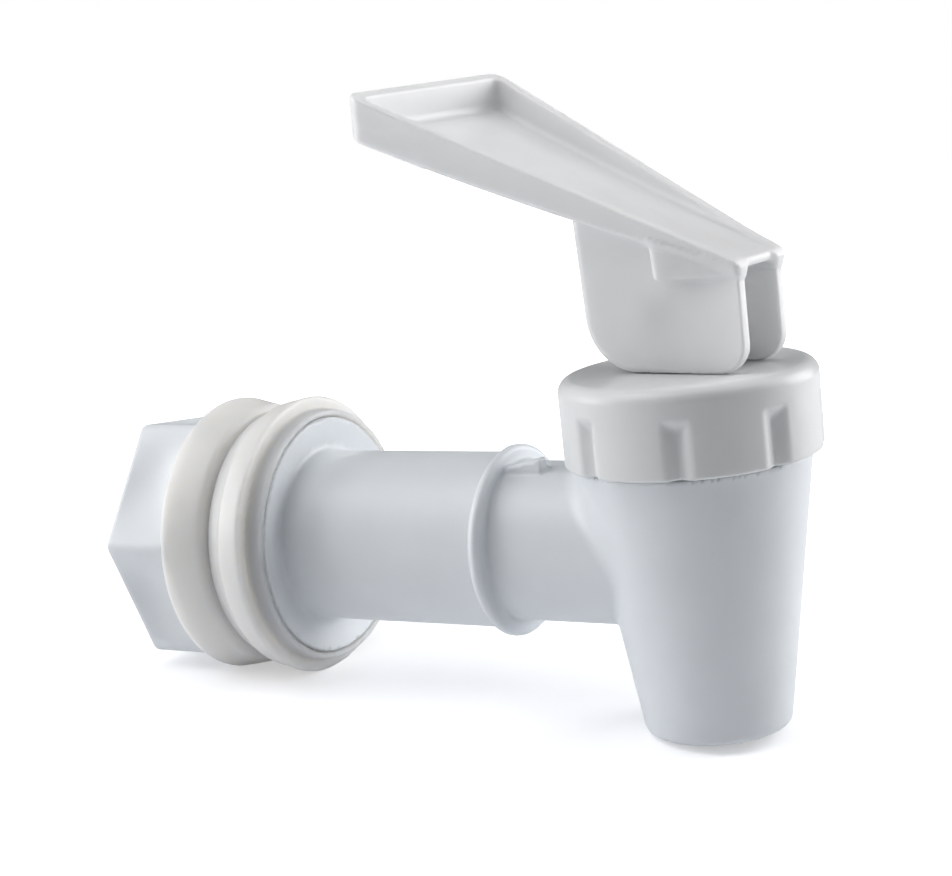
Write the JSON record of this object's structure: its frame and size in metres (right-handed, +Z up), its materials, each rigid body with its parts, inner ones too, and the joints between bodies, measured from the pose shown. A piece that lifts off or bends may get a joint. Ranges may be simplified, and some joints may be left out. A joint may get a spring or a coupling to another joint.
{
  "type": "push-lever dispenser tap",
  "caption": "Plastic push-lever tap that screws through a container wall and dispenses liquid from a downward spout when its lever is pressed.",
  "frame": {"origin": "on the tube's axis, at the face of the flange that bears on the container wall's outer washer", "axes": "+X along the tube out of the container towards the spout, +Z up, spout opens towards -Z"},
  "size_m": [0.0938, 0.0363, 0.078],
  "materials": {
    "body_plastic": "satin moulded, cool white",
    "lever_plastic": "satin moulded, neutral white",
    "silicone": "milky translucent silicone",
    "steel": "plain stainless"
  },
  "bodies": {
    "tap_body": {"valve_body": "body_plastic", "tank_washer": "silicone", "wall_washer": "silicone", "bonnet": "lever_plastic", "clamp_ring": "body_plastic"},
    "nut": {"lock_nut": "body_plastic"},
    "plunger": {"seat_cup": "silicone", "spring_washer": "steel", "return_spring": "steel"},
    "swivel": {"stem": "body_plastic", "pivot_pin": "steel"},
    "handle": {"lever": "lever_plastic"}
  },
  "joints": [
    {"name": "nut_turn", "type": "hinge", "parent": "tap_body", "child": "nut", "pos_m": [-0.017, 0, 0], "axis": [-1, 0, 0], "continuous": true},
    {"name": "stem_lift", "type": "slide", "parent": "tap_body", "child": "plunger", "axis": [0, 0, 1], "range_m": [0, 0.00214], "stiffness_N_per_m": 400, "springref_m": -0.008, "deforming": ["seat_cup", "return_spring"]},
    {"name": "handle_swivel", "type": "hinge", "parent": "plunger", "child": "swivel", "pos_m": [0.0546, 0, 0.0213], "axis": [0, 0, 1], "continuous": true},
    {"name": "lever_tilt", "type": "hinge", "parent": "swivel", "child": "handle", "pos_m": [0.0546, 0, 0.0281], "axis": [-0.108, -0.9942, 0], "range_deg": [0, 35]}
  ],
  "couplings": [
    {"joint": "lever_tilt", "follows": "stem_lift", "rad_per_m": 285.71}
  ]
}
